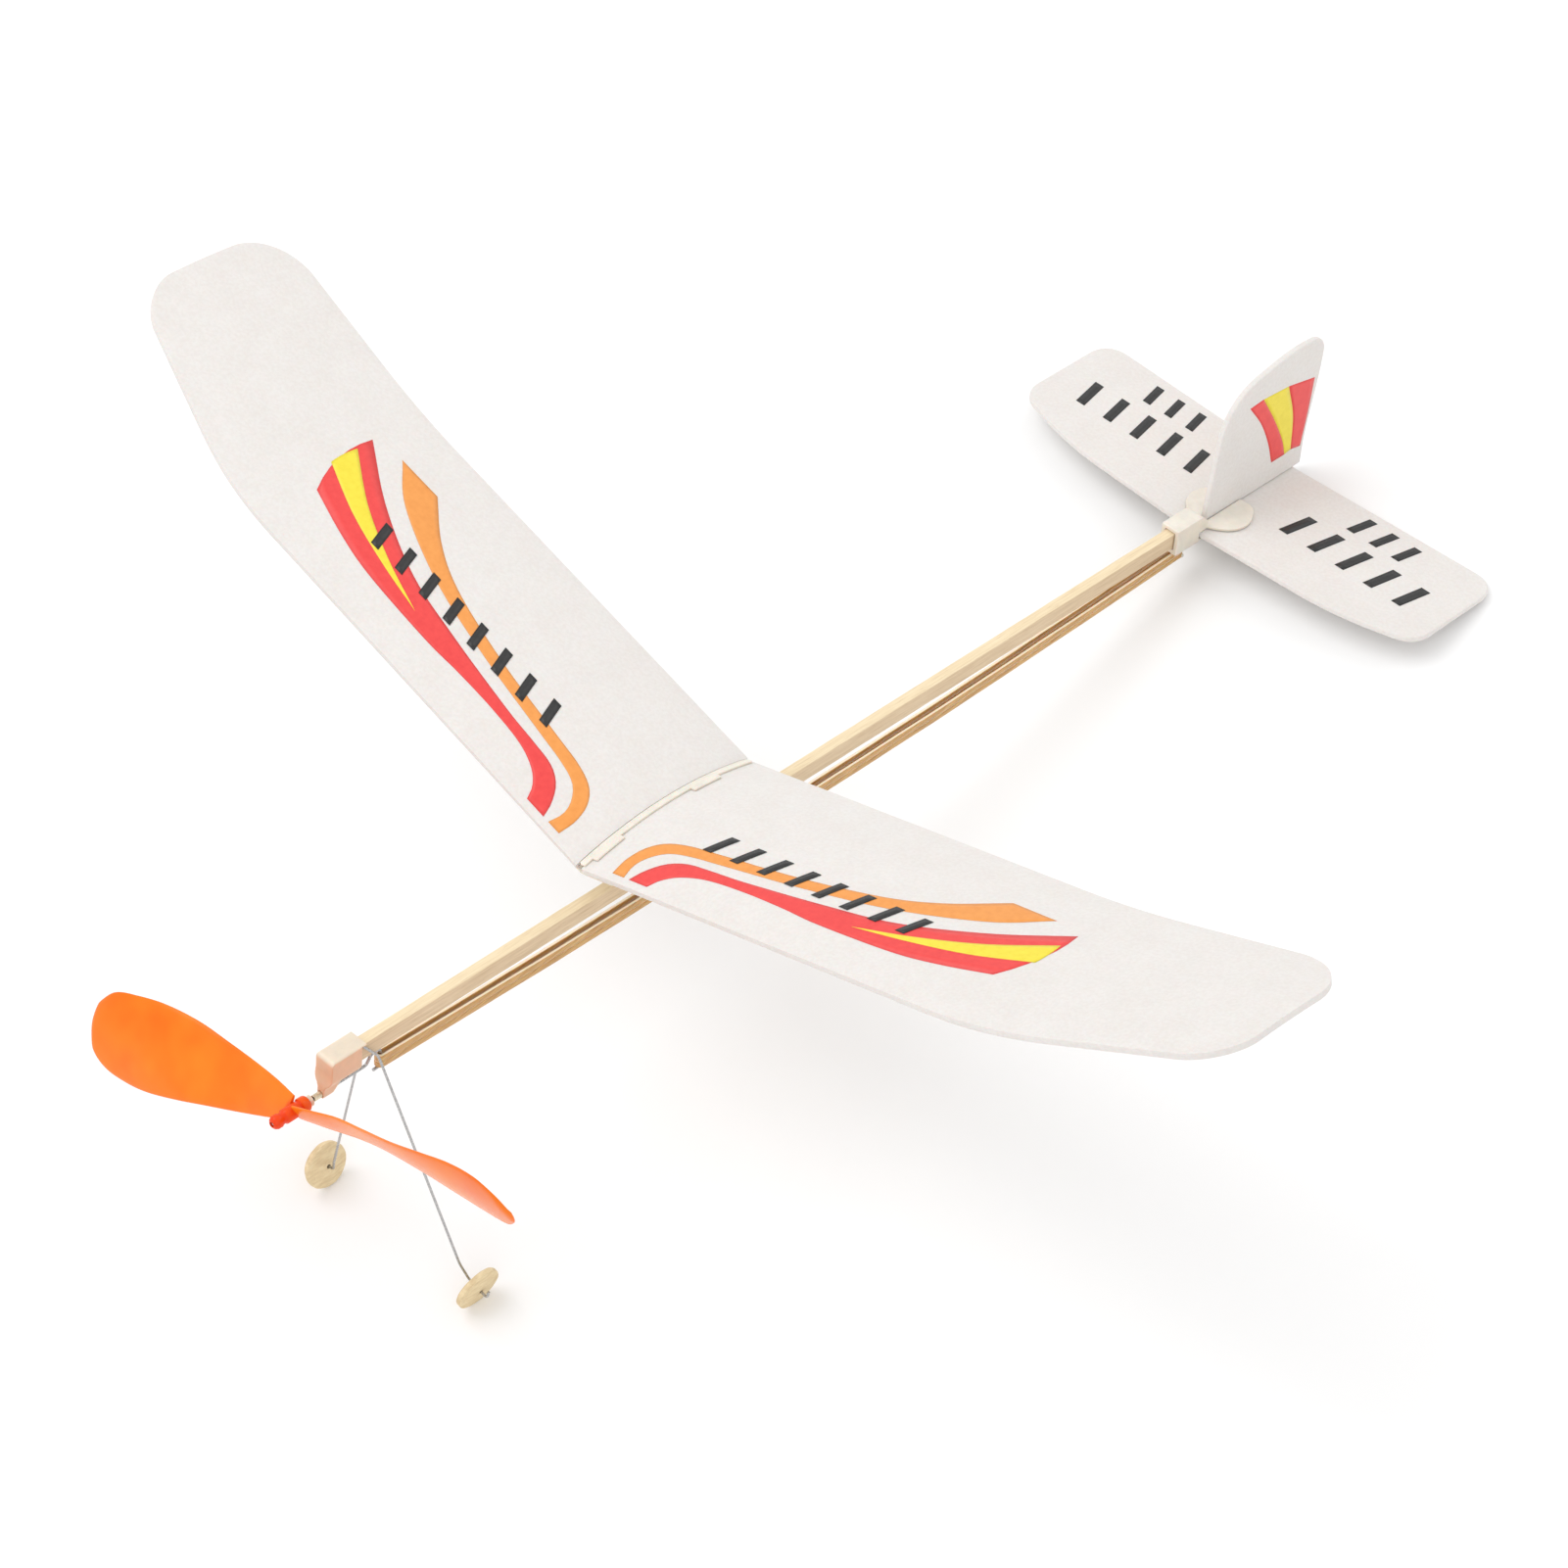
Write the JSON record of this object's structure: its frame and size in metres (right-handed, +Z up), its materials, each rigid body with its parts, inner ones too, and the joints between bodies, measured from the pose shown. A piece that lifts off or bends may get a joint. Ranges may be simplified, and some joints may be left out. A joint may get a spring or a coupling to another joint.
{
  "type": "rubber band plane",
  "caption": "Stick-fuselage foam model aeroplane with a rubber-driven propeller, a sliding dihedral wing, wire landing gear and a flat foam tail.",
  "frame": {"origin": "centre of the bounding box at the ground, with the plane standing on its two wheels and the rear edge of its tailplane", "axes": "+Z up, -Y forward (the nose and propeller point along -Y), +X along the pilot's left wing; the motor stick is tipped nose up by about 12.9 degrees in this resting attitude"},
  "size_m": [0.4314, 0.4482, 0.1568],
  "materials": {
    "balsa": "bare, planed",
    "wheel_wood": "bare, turned",
    "ivory_plastic": "moulded, satin",
    "orange_plastic": "moulded, glossy",
    "foam": "expanded polystyrene sheet with fine beads",
    "steel_wire": "bright drawn wire",
    "eyelet": "plain",
    "rubber_strip": "satin, slightly translucent"
  },
  "bodies": {
    "airframe": {"motor_stick": "balsa", "nose_bearing": "ivory_plastic", "bearing_bush": "eyelet", "tail_mount": "ivory_plastic", "stabilizer": "foam", "fin": "foam", "landing_gear": "steel_wire", "rubber_band_upper": "rubber_strip", "rubber_band_lower": "rubber_strip"},
    "propeller_unit": {"propeller": "orange_plastic", "prop_shaft": "steel_wire", "thrust_washer": "ivory_plastic"},
    "wing": {"wing_left": "foam", "wing_right": "foam", "wing_rib": "ivory_plastic", "wing_saddle": "ivory_plastic"},
    "left_wheel": {"wheel_left": "wheel_wood"},
    "right_wheel": {"wheel_right": "wheel_wood"}
  },
  "joints": [
    {"name": "prop_spin", "type": "hinge", "parent": "airframe", "child": "propeller_unit", "pos_m": [0, -0.20396, 0.08997], "axis": [0, -0.9749, 0.2225], "continuous": true, "deforming": ["rubber_band_upper", "rubber_band_lower"]},
    {"name": "wheel_left_spin", "type": "hinge", "parent": "airframe", "child": "left_wheel", "pos_m": [0.0327, -0.18617, 0.00744], "axis": [0.9744, -0.05, -0.2193], "continuous": true},
    {"name": "wheel_right_spin", "type": "hinge", "parent": "airframe", "child": "right_wheel", "pos_m": [-0.0327, -0.18617, 0.00744], "axis": [-0.9744, -0.05, -0.2193], "continuous": true},
    {"name": "wing_slide", "type": "slide", "parent": "airframe", "child": "wing", "axis": [0, 0.9749, -0.2225], "range_m": [-0.08, 0.19]}
  ]
}
